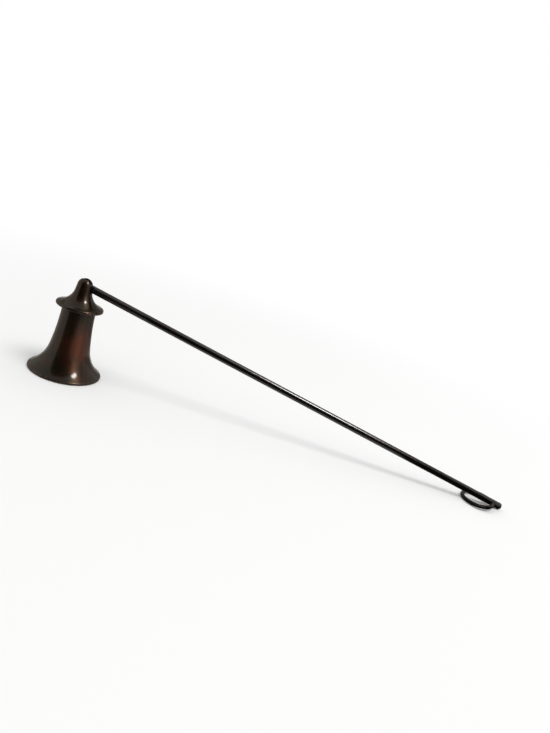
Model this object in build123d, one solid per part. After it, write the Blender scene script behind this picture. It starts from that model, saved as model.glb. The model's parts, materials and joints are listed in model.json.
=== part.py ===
from build123d import *
import os
from math import asin, atan, cos, degrees, hypot, radians, sin, sqrt, tan

# Candle snuffer, in millimetres, +Z up. The origin is the centre of the bell's rim, on the surface
# that the bell stands on. The handle leaves the dome towards +X and droops until its tip lies on
# that surface too, with the hanging ring folded back under it.

# Bell: a thin turned shell. Its wall is two arcs that run into each other at the waist.
RIM_DIAMETER = 38.2
RIM_EDGE = 1.2
RIM_ROUNDING = 0.4
WAIST_DIAMETER = 21.3
WAIST_HEIGHT = 13.8
CROWN_DIAMETER = 17.1
CROWN_THICKNESS = 1.6
BELL_HEIGHT = 37.0
BELL_WALL = 1.4

# Cap: collar, concave neck and dome, turned from one bar. The pivot is at the dome's centre.
COLLAR_DIAMETER = 24.4
COLLAR_EDGE = 1.65
COLLAR_ROUNDING = 0.75
DOME_DIAMETER = 7.86
PIVOT_RISE = 12.4
NECK_TAPER = 8.0
NECK_DROP = 2.8
SPIGOT_DIAMETER = 6.0
SPIGOT_CLEARANCE = 0.05
SPIGOT_SHORT = 0.3

# Screw and washer that hold the cap to the bell's crown from inside.
SCREW_DIAMETER = 4.0
SCREW_GRIP = 6.5
SCREW_CLEARANCE = 0.02
TAPPED_SPARE = 1.0
HEAD_DIAMETER = 7.5
HEAD_HEIGHT = 2.4
HEAD_ROUNDING = 1.0
DRIVE_WIDTH = 1.0
DRIVE_DEPTH = 1.1
WASHER_DIAMETER = 10.5
WASHER_THICKNESS = 0.8
WASHER_CLEARANCE = 0.2

# Pivot: a cross pin pressed in the dome's two cheeks, running in the handle's tongue.
PIN_DIAMETER = 1.8
PIN_CLEARANCE = 0.05
TONGUE_THICKNESS = 2.4
TONGUE_CLEARANCE = 0.12
SLOT_FLOOR_CLEARANCE = 0.2
SLOT_ROUNDING = 0.15
DROOP_LIMIT = 16.0

# Handle: a straight round rod. Its flats run out to the full section past the dome.
ROD_DIAMETER = 4.0
HANDLE_LENGTH = 267.0
TIP_ROUNDING = 0.6
SHOULDER_CLEARANCE = 0.8
CUTTER_RADIUS = 1.5

# Hanging ring: one turn of round wire with its ends butted, through a cross hole near the tip.
RING_DIAMETER = 17.5
RING_WIRE = 2.2
RING_CLEARANCE = 0.05
RING_HOLE_FROM_TIP = 6.3
RING_HOLE_BREAK = 0.3
RING_END_BREAK = 0.2
RING_JOINT_GAP = 0.4
RING_JOINT_ANGLE = 75.0

rod_radius = ROD_DIAMETER / 2
dome_radius = DOME_DIAMETER / 2
ring_radius = RING_DIAMETER / 2
wire_radius = RING_WIRE / 2
pivot_height = BELL_HEIGHT + PIVOT_RISE
crown_inside = BELL_HEIGHT - CROWN_THICKNESS
slot_width = TONGUE_THICKNESS + 2 * TONGUE_CLEARANCE
shoulder = dome_radius + SHOULDER_CLEARANCE
tapped_depth = SCREW_GRIP + TAPPED_SPARE

# The handle's droop at rest: the lower corner of its rounded tip touches the surface.
corner_along = HANDLE_LENGTH - TIP_ROUNDING
corner_across = rod_radius - TIP_ROUNDING
corner_drop = (pivot_height - TIP_ROUNDING) / hypot(corner_along, corner_across)
droop = degrees(asin(corner_drop) - atan(corner_across / corner_along))

# The wire bends inside its hole, so the ring sits half of that bend to one side of the hole's axis.
wire_bend = ring_radius - sqrt(ring_radius**2 - rod_radius**2)
wire_slant = asin(rod_radius / ring_radius)
ring_offset = ring_radius - wire_bend / 2
ring_hole_radius = wire_radius / cos(wire_slant) + wire_bend / 2 + RING_CLEARANCE

# The ring's fold at rest: its far end lies on the surface.
ring_hole_along = HANDLE_LENGTH - RING_HOLE_FROM_TIP
ring_hole_x = ring_hole_along * cos(radians(droop))
ring_hole_z = pivot_height - ring_hole_along * sin(radians(droop))
ring_dip = degrees(asin((ring_hole_z - wire_radius) / (ring_offset + ring_radius)))


def turned(outline):
    """Revolve a closed outline, drawn as radius against height, about the bell's axis."""
    return revolve(Plane.XZ * outline, axis=Axis.Z)


def parallel_point(point, direction, depth):
    """The point at a depth inside the bell's wall, where the wall runs in the given direction."""
    return point + Vector(direction.Y, -direction.X) * depth


def crosswise_cylinder(radius, length, at=(0, 0, 0)):
    """A round bar along Y, centred on a point."""
    return Pos(*at) * Rot(90, 0, 0) * Cylinder(radius, length)


def bell_wall_lines():
    """The outside of the wall from crown to rim, two tangent arcs, as radius against height."""
    crown = (CROWN_DIAMETER / 2, BELL_HEIGHT)
    waist = (WAIST_DIAMETER / 2, WAIST_HEIGHT)
    rim = (RIM_DIAMETER / 2, RIM_EDGE)
    upper = TangentArc(crown, waist, tangent=(0, -1))
    flare = TangentArc(waist, rim, tangent=upper % 1)
    return upper, flare


def bell_shell():
    """The flared bell with its plain rim, open below, and a flat crown with a hole for the cap."""
    upper, flare = bell_wall_lines()
    outside = [
        Line((0, 0), (0, BELL_HEIGHT)),
        Line((0, BELL_HEIGHT), upper @ 0),
        upper,
        flare,
        Line(flare @ 1, (RIM_DIAMETER / 2, 0)),
        Line((RIM_DIAMETER / 2, 0), (0, 0)),
    ]
    solid_bell = make_face(outside)
    rim_corners = solid_bell.vertices().group_by(Axis.X)[-1]
    solid_bell = fillet(rim_corners, min(RIM_ROUNDING, RIM_EDGE / 3))

    inner_crown = upper @ 0 - Vector(BELL_WALL, 0)
    inner_waist = parallel_point(flare @ 0, flare % 0, BELL_WALL)
    inner_rim = parallel_point(flare @ 1, flare % 1, BELL_WALL)
    inner_upper = TangentArc(inner_crown, inner_waist, tangent=(0, -1))
    inner_flare = TangentArc(inner_waist, inner_rim, tangent=flare % 0)
    past_rim = inner_rim + (flare % 1) * RIM_EDGE
    hollow = make_face(
        [
            inner_upper,
            inner_flare,
            Line(inner_rim, past_rim),
            Line(past_rim, (past_rim.X, -BELL_HEIGHT)),
            Line((past_rim.X, -BELL_HEIGHT), (0, -BELL_HEIGHT)),
            Line((0, -BELL_HEIGHT), (0, BELL_HEIGHT)),
            Line((0, BELL_HEIGHT), inner_crown),
        ]
    )
    above_crown = Pos(0, crown_inside + BELL_HEIGHT) * Rectangle(RIM_DIAMETER, 2 * BELL_HEIGHT)
    spigot_hole = Cylinder(SPIGOT_DIAMETER / 2 + SPIGOT_CLEARANCE, 4 * BELL_HEIGHT)
    return turned(solid_bell) - turned(hollow - above_crown) - spigot_hole


def cap_outline():
    """Half of the cap's section: spigot, collar, swept neck and dome, as radius against height."""
    taper = radians(NECK_TAPER)
    spigot_end = crown_inside + SPIGOT_SHORT
    collar_top = (COLLAR_DIAMETER / 2, BELL_HEIGHT + COLLAR_EDGE)
    dome_start = (dome_radius * cos(taper), pivot_height + dome_radius * sin(taper))
    sweep_height = pivot_height - NECK_DROP
    sweep_radius = dome_start[0] + (dome_start[1] - sweep_height) * tan(taper)
    sweep = TangentArc((sweep_radius, sweep_height), collar_top, tangent=(sin(taper), -cos(taper)))
    dome = CenterArc((0, pivot_height), dome_radius, NECK_TAPER, 90 - NECK_TAPER)
    foot = Polyline(
        (0, pivot_height + dome_radius),
        (0, spigot_end),
        (SPIGOT_DIAMETER / 2, spigot_end),
        (SPIGOT_DIAMETER / 2, BELL_HEIGHT),
        (COLLAR_DIAMETER / 2, BELL_HEIGHT),
        collar_top,
    )
    outline = make_face([foot, sweep, Line(sweep @ 0, dome_start), dome])
    lip_corners = outline.vertices().group_by(Axis.X)[-1]
    return fillet(lip_corners, min(COLLAR_ROUNDING, 0.45 * COLLAR_EDGE))


def tongue_slot():
    """The cut that the tongue swings in, open over the dome and on the handle's side."""
    reach = DOME_DIAMETER
    half_height = rod_radius + SLOT_FLOOR_CLEARANCE
    limit = radians(DROOP_LIMIT)
    floor_start = (-half_height * sin(limit), -half_height * cos(limit))
    floor_end = (floor_start[0] + reach * cos(limit), floor_start[1] - reach * sin(limit))
    round_back = CenterArc((0, 0), half_height, 180, 90 - DROOP_LIMIT)
    straight = Polyline(
        floor_start, floor_end, (floor_end[0], reach), (-half_height, reach), (-half_height, 0)
    )
    side = Plane.XZ * make_face([round_back, straight])
    return Pos(0, 0, pivot_height) * extrude(side, amount=slot_width / 2, both=True)


def cap():
    """The turned cap, slotted for the tongue, drilled for the pin and tapped from below."""
    spigot_end = crown_inside + SPIGOT_SHORT
    tapped_top = BELL_HEIGHT + tapped_depth
    tapped_radius = SCREW_DIAMETER / 2 + SCREW_CLEARANCE
    tapped_hole = Pos(0, 0, spigot_end) * Cylinder(
        tapped_radius, tapped_top - spigot_end, align=(Align.CENTER, Align.CENTER, Align.MIN)
    )
    drill_point = Pos(0, 0, tapped_top) * Cone(
        tapped_radius, 0, tapped_radius / 2, align=(Align.CENTER, Align.CENTER, Align.MIN)
    )
    pin_hole = crosswise_cylinder(PIN_DIAMETER / 2, COLLAR_DIAMETER, at=(0, 0, pivot_height))
    slotted = turned(cap_outline()) - tongue_slot()
    edges_over_dome = slotted.edges().group_by(Axis.Z)[-1]
    slotted = fillet(edges_over_dome, min(SLOT_ROUNDING, slot_width / 10))
    return slotted - pin_hole - tapped_hole - drill_point


def crown_washer():
    """The plain washer that spreads the screw's pull on the crown's inner face."""
    disc = Cylinder(WASHER_DIAMETER / 2, WASHER_THICKNESS)
    bore = Cylinder(SCREW_DIAMETER / 2 + WASHER_CLEARANCE, 2 * WASHER_THICKNESS)
    washer = Pos(0, 0, crown_inside - WASHER_THICKNESS / 2) * (disc - bore)
    outer_edges = washer.edges().filter_by(GeomType.CIRCLE).group_by(SortBy.RADIUS)[-1]
    return chamfer(outer_edges, WASHER_THICKNESS / 5)


def crown_screw():
    """A slotted pan-head screw, up through washer and crown into the cap."""
    head_top = crown_inside - WASHER_THICKNESS
    head_bottom = head_top - HEAD_HEIGHT
    shank_end = BELL_HEIGHT + SCREW_GRIP
    head = Pos(0, 0, head_bottom) * Cylinder(
        HEAD_DIAMETER / 2, HEAD_HEIGHT, align=(Align.CENTER, Align.CENTER, Align.MIN)
    )
    head = fillet(head.edges().group_by(Axis.Z)[0], min(HEAD_ROUNDING, HEAD_HEIGHT / 2))
    shank = Pos(0, 0, head_top) * Cylinder(
        SCREW_DIAMETER / 2, shank_end - head_top, align=(Align.CENTER, Align.CENTER, Align.MIN)
    )
    shank = chamfer(shank.edges().group_by(Axis.Z)[-1], SCREW_DIAMETER / 10)
    drive = Pos(0, 0, head_bottom) * Box(DRIVE_WIDTH, 2 * HEAD_DIAMETER, 2 * DRIVE_DEPTH)
    return head + shank - drive


def pivot_pin():
    """The cross pin, filed flush with the dome at both ends."""
    bar = crosswise_cylinder(PIN_DIAMETER / 2, COLLAR_DIAMETER, at=(0, 0, pivot_height))
    return bar & Pos(0, 0, pivot_height) * Sphere(dome_radius)


def tongue_flats():
    """What the cutter takes off both sides of the rod's end, running out on its own radius."""
    half = TONGUE_THICKNESS / 2
    depth = min(rod_radius - half + CUTTER_RADIUS / 10, CUTTER_RADIUS)
    run_out = sqrt(CUTTER_RADIUS**2 - (CUTTER_RADIUS - depth) ** 2)
    lip = TangentArc((shoulder, half), (shoulder + run_out, half + depth), tangent=(1, 0))
    edge = Polyline(lip @ 1, (-ROD_DIAMETER, half + depth), (-ROD_DIAMETER, half), lip @ 0)
    flat = extrude(make_face([lip, edge]), amount=ROD_DIAMETER, both=True)
    return flat + mirror(flat, about=Plane.XZ)


def ring_bore():
    """The cross hole for the ring's wire, widened at both mouths, in the rod's own frame."""
    flare_height = 2 * RING_HOLE_BREAK
    mouth = Cone(ring_hole_radius, ring_hole_radius + flare_height, flare_height)
    mouth = Rot(-90, 0, 0) * Pos(0, 0, rod_radius) * mouth
    bore = crosswise_cylinder(ring_hole_radius, 2 * ROD_DIAMETER)
    return Pos(ring_hole_along, 0, 0) * (bore + mouth + mirror(mouth, about=Plane.XZ))


def handle_rod():
    """The rod along its own X axis from the pivot, then drooped to rest on its tip."""
    bar = Rot(0, 90, 0) * Cylinder(
        rod_radius, HANDLE_LENGTH, align=(Align.CENTER, Align.CENTER, Align.MIN)
    )
    bar = fillet(bar.edges().group_by(Axis.X)[-1], min(TIP_ROUNDING, 0.9 * rod_radius))
    round_end = crosswise_cylinder(rod_radius, ROD_DIAMETER) & Rot(0, 90, 0) * Cylinder(
        rod_radius, 2 * ROD_DIAMETER
    )
    pin_bore = crosswise_cylinder(PIN_DIAMETER / 2 + PIN_CLEARANCE, 2 * ROD_DIAMETER)
    rod = bar + round_end - tongue_flats() - pin_bore - ring_bore()
    return Pos(0, 0, pivot_height) * Rot(0, droop, 0) * rod


def hanging_ring():
    """The wire ring, folded back along the handle with its far end on the surface."""
    gap_angle = degrees(RING_JOINT_GAP / ring_radius)
    wire = Plane.XZ * Pos(ring_radius, 0) * Circle(wire_radius)
    loop = revolve(wire, axis=Axis.Z, revolution_arc=360 - gap_angle)
    end_edges = loop.edges().filter_by(GeomType.CIRCLE).group_by(SortBy.RADIUS)[0]
    loop = fillet(end_edges, min(RING_END_BREAK, wire_radius / 3))
    loop = Pos(ring_offset, 0, 0) * Rot(0, 0, RING_JOINT_ANGLE + gap_angle / 2) * loop
    return Pos(ring_hole_x, 0, ring_hole_z) * Rot(0, 180 - ring_dip, 0) * loop


os.makedirs("parts", exist_ok=True)
for make in (bell_shell, cap, crown_washer, crown_screw, pivot_pin, handle_rod, hanging_ring):
    export_step(make(), f"parts/{make.__name__}.step")

print("handle droop at rest", round(droop, 3), "ring dip at rest", round(ring_dip, 3))
print("pivot height", round(pivot_height, 3))
print("ring hole at", round(ring_hole_x, 3), round(ring_hole_z, 3), "radius", round(ring_hole_radius, 3))
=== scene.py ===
# %% [markdown]
# # A candle snuffer in lacquered dark bronze
# A flared bell hangs under a domed cap, a slim rod is pivoted in the dome, and a wire ring hangs in the
# rod's tip. The construction comes from CAD at full size, and most of its solids can be shown as they are.
# What is left for this file is what the eye sees: the finishes, the bell's two faces, the light and the
# camera. All places are in metres, in the CAD's own frame.

# %% Load the frame
import bmesh
import bpy
import json
import math
from mathutils import Matrix, Vector


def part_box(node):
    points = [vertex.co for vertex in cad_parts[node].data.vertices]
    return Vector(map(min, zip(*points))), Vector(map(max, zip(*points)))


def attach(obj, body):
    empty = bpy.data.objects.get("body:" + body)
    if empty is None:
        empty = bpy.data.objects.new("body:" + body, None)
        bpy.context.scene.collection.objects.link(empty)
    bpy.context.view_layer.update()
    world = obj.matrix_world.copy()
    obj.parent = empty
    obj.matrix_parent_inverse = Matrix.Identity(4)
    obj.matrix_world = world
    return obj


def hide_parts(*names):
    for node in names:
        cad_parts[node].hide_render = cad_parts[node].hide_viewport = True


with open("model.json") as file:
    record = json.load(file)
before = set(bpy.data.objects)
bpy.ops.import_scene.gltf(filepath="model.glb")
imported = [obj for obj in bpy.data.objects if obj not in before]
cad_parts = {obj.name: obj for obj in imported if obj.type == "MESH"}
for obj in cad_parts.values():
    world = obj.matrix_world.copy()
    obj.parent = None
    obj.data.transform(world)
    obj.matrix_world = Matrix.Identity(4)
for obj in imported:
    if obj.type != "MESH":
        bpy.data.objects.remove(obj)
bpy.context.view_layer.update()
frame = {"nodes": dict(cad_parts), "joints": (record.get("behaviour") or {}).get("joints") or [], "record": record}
nodes = frame["nodes"]
joints = {joint["name"]: joint for joint in frame["joints"]}
mounts = {mount["name"]: mount for mount in frame["record"]["mounts"]}
print("pieces from CAD:", ", ".join(sorted(nodes)))

# %% [markdown]
# ## The camera
# The photograph was taken from close by with a short lens, a little above the rod and rolled to the left,
# so near things look larger than far ones. A camera that only looked in the right direction would get the
# proportions wrong: place, lens and roll all have to be the photograph's.

# %% Place the camera
IMAGE_HEIGHT_PX = 733
FOCAL_LENGTH_PX = 540
SENSOR_MM = 36.0
NEAREST_SEEN = 0.01
CAMERA_PLACE = Vector((0.0806, -0.2829, 0.1202))
CAMERA_AIM = Vector((0.1084, 0.0, 0.0401))
CAMERA_ROLL = math.radians(19.9)


def put_in_scene(thing):
    """Link a new object to the scene."""
    bpy.context.scene.collection.objects.link(thing)
    return thing


def rolled_view(place, aim, roll):
    """The matrix of a camera at a place that looks at a point, with its right side raised by the roll."""
    ahead = (aim - place).normalized()
    right = ahead.cross(Vector((0, 0, 1))).normalized()
    up = right.cross(ahead)
    turned_right = right * math.cos(roll) + up * math.sin(roll)
    turned_up = up * math.cos(roll) - right * math.sin(roll)
    turn = Matrix((turned_right, turned_up, -ahead)).transposed()
    return Matrix.Translation(place) @ turn.to_4x4()


camera = put_in_scene(bpy.data.objects.new("camera", bpy.data.cameras.new("camera")))
camera.data.sensor_width = SENSOR_MM
camera.data.lens = SENSOR_MM * FOCAL_LENGTH_PX / IMAGE_HEIGHT_PX
camera.data.clip_start = NEAREST_SEEN
camera.matrix_world = rolled_view(CAMERA_PLACE, CAMERA_AIM, CAMERA_ROLL)
bpy.context.scene.camera = camera
bpy.context.scene.view_settings.view_transform = "Standard"
aim_distance = (CAMERA_AIM - CAMERA_PLACE).length
print("camera:", round(camera.data.lens, 1), "mm lens,", round(aim_distance, 3), "m from what it looks at")

# %% [markdown]
# ## Building shaders in short lines
# A shader is a small graph of nodes. One helper adds a node, sets its switches, and fills each input with
# either a number or the output of another node, so that a finish can be read from top to bottom. The others
# are the few sums that all the finishes share, each named for what it does.


# %% Add a node, start a finish
def shader_node(tree, kind, inputs=None, **switches):
    """Add a node to a tree. An input is a number, a colour or the output that feeds it."""
    node = tree.nodes.new("ShaderNode" + kind)
    for name, value in switches.items():
        setattr(node, name, value)
    for name, value in (inputs or {}).items():
        if isinstance(value, bpy.types.NodeSocket):
            tree.links.new(value, node.inputs[name])
        else:
            node.inputs[name].default_value = value
    return node


def new_material(name):
    """A material, its tree and its one surface shader."""
    material = bpy.data.materials.new(name)
    material.use_nodes = True
    print("finish:", name)
    return material, material.node_tree, material.node_tree.nodes["Principled BSDF"]


# %% Sums with numbers and vectors
def smooth_step(tree, value, low, high):
    """0 up to the low limit, 1 from the high limit on, and a smooth ramp between the two."""
    limits = {"Value": value, "From Min": low, "From Max": high}
    return shader_node(tree, "MapRange", limits, interpolation_type="SMOOTHSTEP").outputs[0]


def spread(tree, value, low, high):
    """A value from 0 to 1, spread over another range."""
    return shader_node(tree, "MapRange", {"Value": value, "To Min": low, "To Max": high}).outputs[0]


def combined(tree, operation, first, second):
    """One sum of two numbers."""
    return shader_node(tree, "Math", {0: first, 1: second}, operation=operation).outputs[0]


def vector_sum(tree, operation, first, second=(0, 0, 0)):
    """One operation on vectors. LENGTH gives a number, the others a vector."""
    outputs = shader_node(tree, "VectorMath", {0: first, 1: second}, operation=operation).outputs
    return outputs["Value"] if operation == "LENGTH" else outputs["Vector"]


def axes_of(tree, place):
    """The three numbers of a position, by the names of their axes."""
    return shader_node(tree, "SeparateXYZ", {"Vector": place}).outputs


def rest_place(tree):
    """The position on the piece at rest, in metres."""
    return shader_node(tree, "TexCoord").outputs["Object"]


# %% Mixed colours and noise
FINE_DETAIL = 3.0
CLOUD_DETAIL = 4.0

# A Mix node keeps its sockets for numbers, vectors and colours side by side, so they go by number.
MIX_SHARE = 0
MIX_COLOURS = (6, 7)
MIXED_COLOUR = 2


def mixed(tree, share, first, second):
    """A mix of two colours, each either three numbers or an output."""
    sockets = {MIX_SHARE: share}
    for socket, colour in zip(MIX_COLOURS, (first, second)):
        sockets[socket] = (*colour, 1) if isinstance(colour, tuple) else colour
    return shader_node(tree, "Mix", sockets, data_type="RGBA").outputs[MIXED_COLOUR]


def noise(tree, place, per_metre, detail=FINE_DETAIL, output="Fac"):
    """A cloudy noise with about this many clouds to the metre."""
    clouds = {"Vector": place, "Scale": per_metre, "Detail": detail}
    return shader_node(tree, "TexNoise", clouds).outputs[output]


# %% [markdown]
# ## Floor and room
# Polished metal has almost no colour of its own: it shows its surroundings, so these are part of the finish.
# The floor is a plain pale sheet that takes the shadow. Half a metre from the snuffer's middle it has faded
# into the plain white that the camera and the metal see in the room, so no horizon shows. A large curved
# backdrop would do the same, but a flat sheet stays out of the way in views from every side.


# %% Sheets of paper, and what is seen
def flat_sheet(name, corners):
    """One flat sheet with the given corners."""
    mesh = bpy.data.meshes.new(name)
    mesh.from_pydata(corners, [], [range(len(corners))])
    return put_in_scene(bpy.data.objects.new(name, mesh))


def matt_paper(name, colour):
    """Plain paper without any gloss."""
    material, tree, surface = new_material(name)
    surface.inputs["Base Color"].default_value = colour
    surface.inputs["Roughness"].default_value = 1.0
    surface.inputs["Specular IOR Level"].default_value = 0.0
    return material, tree, surface


def seen_directly(tree):
    """1 for what the camera sees, also by way of polished metal or glass, and 0 for plain lighting."""
    path = shader_node(tree, "LightPath").outputs
    seen = combined(tree, "MAXIMUM", path["Is Camera Ray"], path["Is Glossy Ray"])
    return combined(tree, "MAXIMUM", seen, path["Is Transmission Ray"])


# %% Lay the floor
FLOOR_SIZE = 8.0
FLOOR_COLOUR = (0.94, 0.94, 0.935, 1)
SNUFFER_MIDDLE = (0.12, 0.0, 0.0)
FADE_FROM = 0.17
FADE_TO = 0.5
WHITE = (1, 1, 1, 1)
BACKGROUND_LEVEL = 1.0

reach = FLOOR_SIZE / 2
floor_corners = [(-reach, -reach, 0), (reach, -reach, 0), (reach, reach, 0), (-reach, reach, 0)]
floor = flat_sheet("floor", floor_corners)
floor_paper, tree, surface = matt_paper("floor_paper", FLOOR_COLOUR)
off_middle = vector_sum(tree, "SUBTRACT", rest_place(tree), SNUFFER_MIDDLE)
far_off = smooth_step(tree, vector_sum(tree, "LENGTH", off_middle), FADE_FROM, FADE_TO)
faded = combined(tree, "MULTIPLY", far_off, seen_directly(tree))
plain_white = shader_node(tree, "Emission", {"Color": WHITE, "Strength": BACKGROUND_LEVEL}).outputs[0]
fading = shader_node(tree, "MixShader", {0: faded, 1: surface.outputs[0], 2: plain_white}).outputs[0]
tree.links.new(fading, tree.nodes["Material Output"].inputs["Surface"])
floor.data.materials.append(floor_paper)

# %% The room
ROOM_LIGHT = 0.75

world = bpy.data.worlds.new("pale_room")
world.use_nodes = True
bpy.context.scene.world = world
room = world.node_tree
room.nodes["Background"].inputs["Color"].default_value = WHITE
level = spread(room, seen_directly(room), ROOM_LIGHT, BACKGROUND_LEVEL)
room.links.new(level, room.nodes["Background"].inputs["Strength"])
print("room: lights at", ROOM_LIGHT, "and is seen at", BACKGROUND_LEVEL)

# %% [markdown]
# ## Lamps
# An oval lamp high on the right makes the hard spots that the photograph has on the dome, the neck and the
# flare, and the streak along the rod. A wide lamp behind it lights the floor and casts the soft shadow. Two
# lamps are used because one can't do both: small enough for the spots, it would cast a hard shadow. So the
# first is seen by polished metal alone, and the second lights paper alone.

# %% Place the lamps
SPOT_PLACE = Vector((0.390, -0.132, 0.592))
SPOT_WIDTH = 0.162
SPOT_LENGTH = 0.205
SPOT_POWER = 4.2
SOFT_PLACE = Vector((0.88, -0.44, 1.82))
SOFT_WIDTH = 1.0
SOFT_POWER = 13.4
LAMP_AIM = Vector((0.08, 0, 0.02))


def oval_lamp(name, place, width, length, power):
    """An oval lamp that faces the snuffer, with its length roughly along the rod."""
    light = bpy.data.lights.new(name, "AREA")
    light.shape = "ELLIPSE"
    light.size = width
    light.size_y = length
    light.energy = power
    lamp = put_in_scene(bpy.data.objects.new(name, light))
    lamp.location = place
    lamp.rotation_euler = (LAMP_AIM - place).to_track_quat("-Z", "Y").to_euler()
    print("lamp:", name, "at", round((LAMP_AIM - place).length, 3), "m")
    return lamp


oval_lamp("spot_lamp", SPOT_PLACE, SPOT_WIDTH, SPOT_LENGTH, SPOT_POWER).visible_diffuse = False
oval_lamp("soft_lamp", SOFT_PLACE, SOFT_WIDTH, SOFT_WIDTH, SOFT_POWER).visible_glossy = False

# %% [markdown]
# ## Cards for the metal to show
# In an all-white room polished metal looks like flat brown plastic. Photographers of silver and bronze stand
# cards round it, to give the metal something dark to show. Here dark ones in front make the bell's dark band,
# with a very pale grey one below them for the flare, and grey ones behind calm the bright outlines. A strip
# close to the rod makes its middle black: from the bell it is seen edge-on, so it leaves no line there. Two
# more, over and under the tip, darken the rod's end. Painting all this into the finish would be wrong,
# because it would stay on the metal in every view. The cards are seen in reflections only.

# %% Cards and their corners
ON_FLOOR = (0.001, 0.001)


def card_for_reflections(name, tone, corners):
    """A grey card with the given corners that shows in reflections only."""
    card = flat_sheet(name, corners)
    card.data.materials.append(matt_paper(name, (tone, tone, tone, 1))[0])
    card.visible_camera = False
    card.visible_diffuse = False
    card.visible_shadow = False


def upright(left, right, high, low=ON_FLOOR):
    """The corners of an upright card between two places. high and low are its edges' heights at each."""
    return [(*left, low[0]), (*right, low[1]), (*right, high[1]), (*left, high[0])]


def flat_over(near_left, far_right, heights):
    """The corners of a card over a stretch of floor. heights are those of its left and right edges."""
    (left, near), (right, far) = near_left, far_right
    low, high = heights
    return [(left, near, low), (right, near, high), (right, far, high), (left, far, low)]


# %% Stand the cards
DARK_TOP = 0.16
BELL_LEFT = (-0.058, -0.062)
FLARE_LEFT = (0.003, -0.060)
FLARE_RIGHT = (0.060, -0.034)
PIVOT_FRONT = -0.034
ROD_FRONT = -0.010
BEHIND = 0.06

cards = {
    "bell_card": (0.08, upright(BELL_LEFT, FLARE_LEFT, (DARK_TOP, DARK_TOP))),
    "flare_card": (0.12, upright(FLARE_LEFT, FLARE_RIGHT, (DARK_TOP, 0.06), (0.001, 0.05))),
    "grey_card": (0.95, upright(FLARE_LEFT, FLARE_RIGHT, (0.002, 0.05))),
    "pivot_card": (0.10, upright((0.030, PIVOT_FRONT), (0.085, PIVOT_FRONT), (0.07, 0.08), (0.044, 0.044))),
    "rod_card": (0.05, upright((0.035, ROD_FRONT), (0.262, ROD_FRONT), (0.066, 0.026), (0.034, 0.001))),
    "back_card": (0.50, upright((-0.25, BEHIND), (0.50, BEHIND), (0.02, 0.02))),
    "collar_card": (0.55, upright((-0.08, BEHIND), (0.045, BEHIND), (0.11, 0.11), (0.045, 0.045))),
    "tip_card": (0.05, flat_over((0.26, -0.05), (0.36, 0.25), (0.120, 0.166))),
    "tip_floor_card": (0.05, flat_over((0.20, -0.05), (0.30, 0.0), ON_FLOOR)),
}
for name, (tone, corners) in cards.items():
    card_for_reflections(name, tone, corners)
print("cards:", len(cards))

# %% [markdown]
# ## Lacquered bronze
# The finish has two layers. Below is brass, browned with a chemical and buffed: dark and reddish, with a
# soft shine. Above is clear lacquer with its own sharp, colourless shine. Where the lacquer mirrors something
# bright the piece looks grey, and beside that the red of the metal comes through, as in the photograph. The
# browning is never even, and it rubs thin where hands and tables touch it. One function makes this for every
# browned piece, and each piece adds the marks of how it was made.


# %% Bare metal
def bare_metal(tree, surface, colour, blur, marks, depth):
    """Fill a surface shader with metal, and give back the slope of its making marks."""
    tree.links.new(colour, surface.inputs["Base Color"])
    tree.links.new(blur, surface.inputs["Roughness"])
    slope = shader_node(tree, "Bump", {"Height": marks, "Distance": depth, "Strength": 1.0}).outputs[0]
    tree.links.new(slope, surface.inputs["Normal"])
    surface.inputs["Metallic"].default_value = 1.0
    return slope


# %% The two-layer finish
# The red of metal under thin browning. On the bell's lit front it is also a painted warm sheen.
THIN_RED_AND_SHEEN = (0.070, 0.0195, 0.0085)
RUBBED_BRONZE = (0.060, 0.039, 0.025)
CLOUDS_PER_METRE = 110.0
CLOUD_EDGES = (0.36, 0.66)
GRAIN_PER_METRE = 900.0
WEAR_EDGES = (0.35, 0.7)
METAL_BLUR = (0.36, 0.48)
METAL_EDGE_TINT = (0.6, 0.55, 0.5, 1)
LACQUER_IOR = 1.5


def lacquered_bronze(tree, surface, tones, lacquer, marks, depth, thin_and_sheen=None, rubbed=None):
    """Fill a surface shader with browned metal under lacquer.

    tones are the two colours of the browning, lacquer is its strength and blur, and marks with their depth
    are the making marks. The two masks say where the browning is buffed thinner, which also paints a warm sheen,
    and where it is worn away.
    """
    place = rest_place(tree)
    clouds = noise(tree, place, CLOUDS_PER_METRE, CLOUD_DETAIL)
    grain = noise(tree, place, GRAIN_PER_METRE)
    colour = mixed(tree, smooth_step(tree, clouds, *CLOUD_EDGES), *tones)
    # A redder colour where the browning is buffed thinner. On the bell's lit front it is also a painted warm
    # sheen.
    if thin_and_sheen is not None:
        colour = mixed(tree, thin_and_sheen, colour, THIN_RED_AND_SHEEN)
    if rubbed is not None:
        ragged = smooth_step(tree, grain, *WEAR_EDGES)
        colour = mixed(tree, combined(tree, "MULTIPLY", rubbed, ragged), colour, RUBBED_BRONZE)
    slope = bare_metal(tree, surface, colour, spread(tree, grain, *METAL_BLUR), marks, depth)
    strength, blur = lacquer
    tree.links.new(slope, surface.inputs["Coat Normal"])
    surface.inputs["Specular Tint"].default_value = METAL_EDGE_TINT
    surface.inputs["Coat Weight"].default_value = strength
    surface.inputs["Coat Roughness"].default_value = blur
    surface.inputs["Coat IOR"].default_value = LACQUER_IOR


# %% [markdown]
# ## Marks of the lathe
# A lathe leaves rings, so on the bell and the cap a mark may only depend on the distance from the axis and
# on the height. The rings also stretch the metal's soft shine, which Blender calls anisotropy: it needs to
# know which way round the marks run, and a tangent round the Z axis says so.

# %% Positions and marks on turned pieces
SHINE_STRETCH = 0.8
QUARTER_TURN = 0.25


def from_axis(tree, along):
    """The distance from the Z axis of a position that is given by its axes."""
    flat = shader_node(tree, "CombineXYZ", {"X": along["X"], "Y": along["Y"]}).outputs[0]
    return vector_sum(tree, "LENGTH", flat)


def turned_place(tree):
    """(distance from the bell's axis, height)."""
    along = axes_of(tree, rest_place(tree))
    return from_axis(tree, along), along["Z"]


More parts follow.
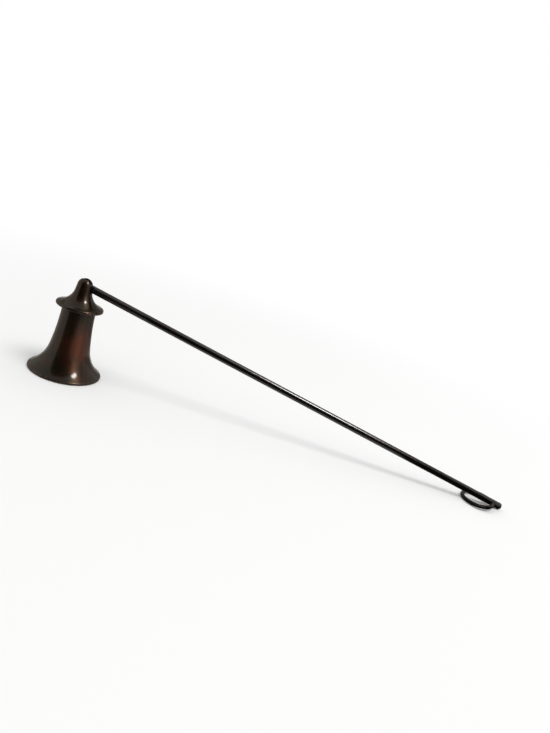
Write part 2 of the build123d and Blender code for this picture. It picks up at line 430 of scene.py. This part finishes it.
def ring_marks(tree, radius, height, per_metre):
    """The height of fine grooves that run in rings, as they lie across one section."""
    section = shader_node(tree, "CombineXYZ", {"X": radius, "Z": height}).outputs[0]
    return noise(tree, section, per_metre)


def stretched_shine(tree, surface):
    """Stretch the metal's soft shine across the turning marks."""
    round_axis = shader_node(tree, "Tangent", direction_type="RADIAL", axis="Z").outputs[0]
    tree.links.new(round_axis, surface.inputs["Tangent"])
    surface.inputs["Anisotropic"].default_value = SHINE_STRETCH
    surface.inputs["Anisotropic Rotation"].default_value = QUARTER_TURN


# %% [markdown]
# ## The bell's shape
# The bell is a shell with a wall little over a millimetre thick, spun over a turned former. Its outline is
# two arcs that run into each other at the waist, and a plain rounded rim. It is drawn here again, with the
# CAD's sizes and a slightly fuller rim, because its two faces differ: the outside is buffed and lacquered,
# and the inside keeps the print of the former's rings. The rings are in the mesh itself, so they catch light
# from any side. A screw modifier would turn the outline too, but a loop can give each face its own finish.

# %% Arcs and corners of an outline
WALL = 0.0014


def arc_leaving(start, direction, end, steps):
    """(points of the arc that leaves one point in a direction and ends at another, its last direction)."""
    across = Vector((direction.y, -direction.x))
    chord = end - start
    centre = start + across * (chord.dot(chord) / (2 * chord.dot(across)))
    first_spoke = start - centre
    turn = -first_spoke.angle_signed(end - centre)
    spokes = [Matrix.Rotation(turn * step / steps, 2) @ first_spoke for step in range(steps + 1)]
    return [centre + spoke for spoke in spokes], Matrix.Rotation(turn, 2) @ direction


def rounded_corner(before, corner, after, radius, steps=5):
    """Points on a small arc that touches both sides of a corner. A slerp of two spokes has length 1."""
    sides = [(point - corner).normalized() for point in (before, after)]
    half_angle = sides[0].angle(sides[1]) / 2
    centre = corner + (sides[0] + sides[1]).normalized() * radius / math.sin(half_angle)
    spokes = [corner + side * radius / math.tan(half_angle) - centre for side in sides]
    return [centre + radius * spokes[0].slerp(spokes[1], step / steps) for step in range(steps + 1)]


def inward(point, direction):
    """The point on the bell's inner face behind a point of its outer face."""
    return point + Vector((direction.y, -direction.x)) * WALL


# %% The bell's outline
RIM_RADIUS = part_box("bell_shell")[1][0]
BELL_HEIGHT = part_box("bell_shell")[1][2]
RIM_EDGE = 0.0012
WAIST = Vector((0.01065, 0.0138))
CROWN_RADIUS = 0.00855
CROWN_INSIDE = 0.0354
DOWN = Vector((0, -1))
UPPER_STEPS = 40
FLARE_STEPS = 64
INNER_UPPER_STEPS = 120
INNER_FLARE_STEPS = 100

crown_edge = Vector((CROWN_RADIUS, BELL_HEIGHT))
inner_crown_edge = Vector((CROWN_RADIUS - WALL, CROWN_INSIDE))
rim_top = Vector((RIM_RADIUS, RIM_EDGE))
rim_foot = Vector((RIM_RADIUS, 0))
upper, waist_run = arc_leaving(crown_edge, DOWN, WAIST, UPPER_STEPS)
flare, rim_run = arc_leaving(WAIST, waist_run, rim_top, FLARE_STEPS)
inner_waist = inward(WAIST, waist_run)
inner_rim = inward(rim_top, rim_run)
inner_upper, _ = arc_leaving(inner_crown_edge, DOWN, inner_waist, INNER_UPPER_STEPS)
inner_flare, _ = arc_leaving(inner_waist, waist_run, inner_rim, INNER_FLARE_STEPS)
mouth_edge = inner_rim - rim_run * (inner_rim.y / rim_run.y)
print("flare meets the rim at", round(math.degrees(rim_run.angle(DOWN)), 1), "deg to the axis")
print("mouth", round(2 * mouth_edge.x, 5), "m across")

# %% The former's rings
RIDGE_PITCH = 0.0012
RIDGE_HEIGHT = 0.00002


def spun_ridges(points):
    """The same line with the shallow ridges that the former's rings leave across it."""
    ridged = [points[0]]
    travelled = 0.0
    for before, point, after in zip(points, points[1:], points[2:]):
        travelled += (point - before).length
        run = (after - before).normalized()
        lift = RIDGE_HEIGHT * math.sin(2 * math.pi * travelled / RIDGE_PITCH)
        ridged.append(point + Vector((run.y, -run.x)) * lift)
    return ridged + [points[-1]]


inside = spun_ridges(inner_upper[:-1] + inner_flare)
print("ridges inside:", round(sum((b - a).length for a, b in zip(inside, inside[1:])) / RIDGE_PITCH))

# %% Turn an outline
BELL_SEGMENTS = 128
SHARP_ANGLE = math.radians(40)


def turned_shell(name, faces_of_outline):
    """Turn a closed outline round the bell's axis. Each stretch of it has the number of its finish."""
    outline = [(point, finish) for points, finish in faces_of_outline for point in points]
    shell = bmesh.new()
    rings = []
    for step in range(BELL_SEGMENTS):
        spin = Matrix.Rotation(2 * math.pi * step / BELL_SEGMENTS, 3, "Z")
        rings.append([shell.verts.new(spin @ Vector((point.x, 0, point.y))) for point, _ in outline])
    for ring, following in zip(rings, rings[1:] + rings[:1]):
        for number, (_, finish) in enumerate(outline):
            after = (number + 1) % len(outline)
            face = shell.faces.new((ring[number], ring[after], following[after], following[number]))
            face.material_index = finish
            face.smooth = True
    bmesh.ops.recalc_face_normals(shell, faces=shell.faces)
    mesh = bpy.data.meshes.new(name)
    shell.to_mesh(mesh)
    shell.free()
    mesh.set_sharp_from_angle(angle=SHARP_ANGLE)
    print(name, "has", len(mesh.polygons), "faces")
    return put_in_scene(bpy.data.objects.new(name, mesh))


# %% Turn the bell
RIM_ROUNDING = 0.00055
MOUTH_ROUNDING = 0.0001
CROWN_HOLE = 0.00305

rim = rounded_corner(flare[-2], rim_top, rim_foot, RIM_ROUNDING)
rim_reach = (rim_top - rim[0]).length
outside = [point for point in flare if (point - rim_top).length > rim_reach]
rim += rounded_corner(rim_top, rim_foot, mouth_edge, RIM_ROUNDING)
mouth = rounded_corner(rim_foot, mouth_edge, inner_rim, MOUTH_ROUNDING)
crown_top = [Vector((CROWN_HOLE, BELL_HEIGHT))]
crown_below = [Vector((CROWN_HOLE, CROWN_INSIDE))]
lacquered_face = crown_top + upper[:-1] + outside + rim + mouth[:-1]
spun_face = mouth[-1:] + inside[::-1] + crown_below
bell = turned_shell("spun_bell", [(lacquered_face, 0), (spun_face, 1)])
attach(bell, "head")
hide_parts("bell_shell")

# %% [markdown]
# ## The bell's two finishes
# Outside, the browning is buffed thinner on the front of the bell, just above the waist, and there the metal
# shows redder and brighter. That patch is also a painted warm sheen: it sits on the lit front, round the
# lamp's spot. The rim is rubbed where it stands on tables. Inside there is no lacquer: the metal is as it
# came off the former, and smoke from candles has left a dull black film that grows towards the crown.

# %% Where the bell is buffed thin, with a painted warm sheen
# The patch sits on the bell's lit front, round the lamp's spot, so it is also a painted warm sheen.
THIN_SHEEN_SPOT = (0.0070, -0.0085, 0.0180)
THIN_SHEEN_REACH = 0.0135
THIN_SHEEN_CORE = THIN_SHEEN_REACH / 8
WANDERS_PER_METRE = 160.0
WANDER = (0.012, 0.012, 0.012)
NOISE_MIDDLE = (0.5, 0.5, 0.5)


def buffed_thin_and_painted_sheen(tree):
    """1 in the middle of the thinly browned place, where a warm sheen is also painted, with a wandering edge."""
    place = rest_place(tree)
    cloud = noise(tree, place, WANDERS_PER_METRE, output="Color")
    wander = vector_sum(tree, "MULTIPLY", vector_sum(tree, "SUBTRACT", cloud, NOISE_MIDDLE), WANDER)
    away = vector_sum(tree, "ADD", vector_sum(tree, "SUBTRACT", place, THIN_SHEEN_SPOT), wander)
    return smooth_step(tree, vector_sum(tree, "LENGTH", away), THIN_SHEEN_REACH, THIN_SHEEN_CORE)


# %% The outside of the bell
BELL_TONES = ((0.017, 0.0130, 0.0070), (0.028, 0.0140, 0.0080))
BELL_LACQUER = (0.36, 0.12)
BUFFED_GROOVES = 3500.0
TURNING_DEPTH = 0.00001
RIM_WEAR = 2 * RIM_ROUNDING

buffed_bell, tree, surface = new_material("buffed_bell")
radius, height = turned_place(tree)
rim_wear = smooth_step(tree, radius, RIM_RADIUS - RIM_WEAR, RIM_RADIUS)
marks = ring_marks(tree, radius, height, BUFFED_GROOVES)
# Buffed thinner on the front, which also paints a warm sheen there.
thin_and_sheen = buffed_thin_and_painted_sheen(tree)
lacquered_bronze(tree, surface, BELL_TONES, BELL_LACQUER, marks, TURNING_DEPTH, thin_and_sheen, rim_wear)
stretched_shine(tree, surface)
bell.data.materials.append(buffed_bell)

# %% The inside of the bell
SPUN_BROWN = (0.090, 0.052, 0.030)
SMOKE_BLACK = (0.0045, 0.0040, 0.0036)
SMOKE_FROM = 0.002
DRIFTS_PER_METRE = 220.0
DRIFT_EDGES = (0.2, 0.6)
SPUN_BLUR = (0.36, 0.75)
SPUN_GROOVES = 2500.0
SPUN_DEPTH = 2 * TURNING_DEPTH

smoked_bell, tree, surface = new_material("smoked_bell")
radius, height = turned_place(tree)
drift = smooth_step(tree, noise(tree, rest_place(tree), DRIFTS_PER_METRE, CLOUD_DETAIL), *DRIFT_EDGES)
film = combined(tree, "MULTIPLY", smooth_step(tree, height, SMOKE_FROM, CROWN_INSIDE), drift)
smoked = mixed(tree, film, SPUN_BROWN, SMOKE_BLACK)
marks = ring_marks(tree, radius, height, SPUN_GROOVES)
bare_metal(tree, surface, smoked, spread(tree, film, *SPUN_BLUR), marks, SPUN_DEPTH)
stretched_shine(tree, surface)
bell.data.materials.append(smoked_bell)

# %% [markdown]
# ## The cap and its pin
# The cap is turned from bar, with a collar that covers the bell's crown, a swept neck and a dome. Its CAD
# solid is right as it is, so it only gets the bell's finish, rubbed along the collar's edge, where fingers
# turn it. The pin was pressed in and filed flush before the browning: its ends keep straight file marks.

# %% Finish the cap
COLLAR_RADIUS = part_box("cap")[1][0]
COLLAR_WEAR = 0.001


def dress(node, material):
    """Give a CAD piece its finish."""
    nodes[node].data.materials.clear()
    nodes[node].data.materials.append(material)
    print(node, "wears", material.name)


buffed_cap, tree, surface = new_material("buffed_cap")
radius, height = turned_place(tree)
collar_wear = smooth_step(tree, radius, COLLAR_RADIUS - COLLAR_WEAR, COLLAR_RADIUS)
marks = ring_marks(tree, radius, height, BUFFED_GROOVES)
lacquered_bronze(tree, surface, BELL_TONES, BELL_LACQUER, marks, TURNING_DEPTH, rubbed=collar_wear)
stretched_shine(tree, surface)
dress("cap", buffed_cap)

# %% Finish the pivot pin
FILED_LONG = (0.1, 1.0, 1.0)
LINES_PER_METRE = 5000.0

filed_pin, tree, surface = new_material("filed_pin")
file_marks = noise(tree, vector_sum(tree, "MULTIPLY", rest_place(tree), FILED_LONG), LINES_PER_METRE)
lacquered_bronze(tree, surface, BELL_TONES, BELL_LACQUER, file_marks, TURNING_DEPTH)
dress("pivot_pin", filed_pin)

# %% [markdown]
# ## The rod and the ring
# Both are drawn: pulled through a die, which leaves fine lines along the rod and along the ring's wire. Noise
# gives such lines when its space is stretched along them, so each piece first gets its position in its own
# frame: along the drooping rod, or round the middle of the ring. They are browned like the bell but coloured
# darker, and that extra darkness is painted shade for the dark surroundings they mirror. The rod is rubbed at
# its tip, where it lies on the table.

# %% Positions on the rod and the ring
pivot = Vector(joints["handle_pivot"]["pos_m"])
ring_hole = Vector(joints["ring_swing"]["pos_m"])
ring_eye = Vector(mounts["hanging_eye"]["pos_m"])
ring_axis = Vector(mounts["hanging_eye"]["axis"])
rod_droop = math.atan2(pivot.z - ring_hole.z, ring_hole.x - pivot.x)
ring_tilt = math.atan2(-ring_axis.x, ring_axis.z)
print("rod droops", round(math.degrees(rod_droop), 2), "deg")
print("ring lies at", round(math.degrees(ring_tilt), 2), "deg")


def tilted_place(tree, centre, tilt):
    """The position about a centre, in a frame that is tilted about the pivot's direction."""
    about = vector_sum(tree, "SUBTRACT", rest_place(tree), centre)
    turned = {"Vector": about, "Angle": tilt}
    return shader_node(tree, "VectorRotate", turned, rotation_type="Y_AXIS").outputs[0]


# %% Finish the rod
# Darker than the bell's browning: the extra darkness is painted shade for the dark surroundings the rod mirrors.
ROD_TONES_WITH_PAINTED_SHADE = ((0.010, 0.0085, 0.0072), (0.016, 0.0110, 0.0084))
ROD_LACQUER = (0.8, 0.2)
ROD_LENGTH = 0.267
TIP_WEAR = 0.0025
DRAWN_LONG = (0.02, 1, 1)
DRAWING_DEPTH = 0.0000015

drawn_rod, tree, surface = new_material("drawn_rod")
on_rod = tilted_place(tree, pivot, -rod_droop)
drawn_lines = noise(tree, vector_sum(tree, "MULTIPLY", on_rod, DRAWN_LONG), LINES_PER_METRE)
tip_wear = smooth_step(tree, axes_of(tree, on_rod)["X"], ROD_LENGTH - TIP_WEAR, ROD_LENGTH)
lacquered_bronze(tree, surface, ROD_TONES_WITH_PAINTED_SHADE, ROD_LACQUER, drawn_lines, DRAWING_DEPTH, rubbed=tip_wear)
dress("handle_rod", drawn_rod)

# %% Finish the ring
# Much darker than the bell's browning: the extra darkness is painted shade for the dark surroundings the ring
# mirrors.
WIRE_TONES_WITH_PAINTED_SHADE = ((0.005, 0.0043, 0.0038), (0.009, 0.0066, 0.0052))
WIRE_LACQUER = (0.3, 0.12)

drawn_wire, tree, surface = new_material("drawn_wire")
on_ring = axes_of(tree, tilted_place(tree, ring_eye, -ring_tilt))
drawn_lines = ring_marks(tree, from_axis(tree, on_ring), on_ring["Z"], LINES_PER_METRE)
lacquered_bronze(tree, surface, WIRE_TONES_WITH_PAINTED_SHADE, WIRE_LACQUER, drawn_lines, DRAWING_DEPTH)
dress("hanging_ring", drawn_wire)

# %% [markdown]
# ## The screw and the washer
# They are only seen from below, up in the crown. Shop fasteners come as plain turned brass, so they are the
# one place where the yellow of the metal shows, spotted with tarnish from heat and damp. Their shine changes
# with the spots: tarnish is duller than clean brass.

# %% Finish the screw and the washer
CLEAN_BRASS = (0.42, 0.27, 0.10)
TARNISH = (0.13, 0.075, 0.035)
TARNISH_PER_METRE = 600.0
TARNISH_EDGES = (0.38, 0.66)
BRASS_BLUR = (0.22, 0.5)
SHOP_GROOVES = 6000.0

tarnished_brass, tree, surface = new_material("tarnished_brass")
spots = smooth_step(tree, noise(tree, rest_place(tree), TARNISH_PER_METRE, CLOUD_DETAIL), *TARNISH_EDGES)
spotted = mixed(tree, spots, CLEAN_BRASS, TARNISH)
marks = ring_marks(tree, *turned_place(tree), SHOP_GROOVES)
bare_metal(tree, surface, spotted, spread(tree, spots, *BRASS_BLUR), marks, TURNING_DEPTH)
dress("crown_screw", tarnished_brass)
dress("crown_washer", tarnished_brass)
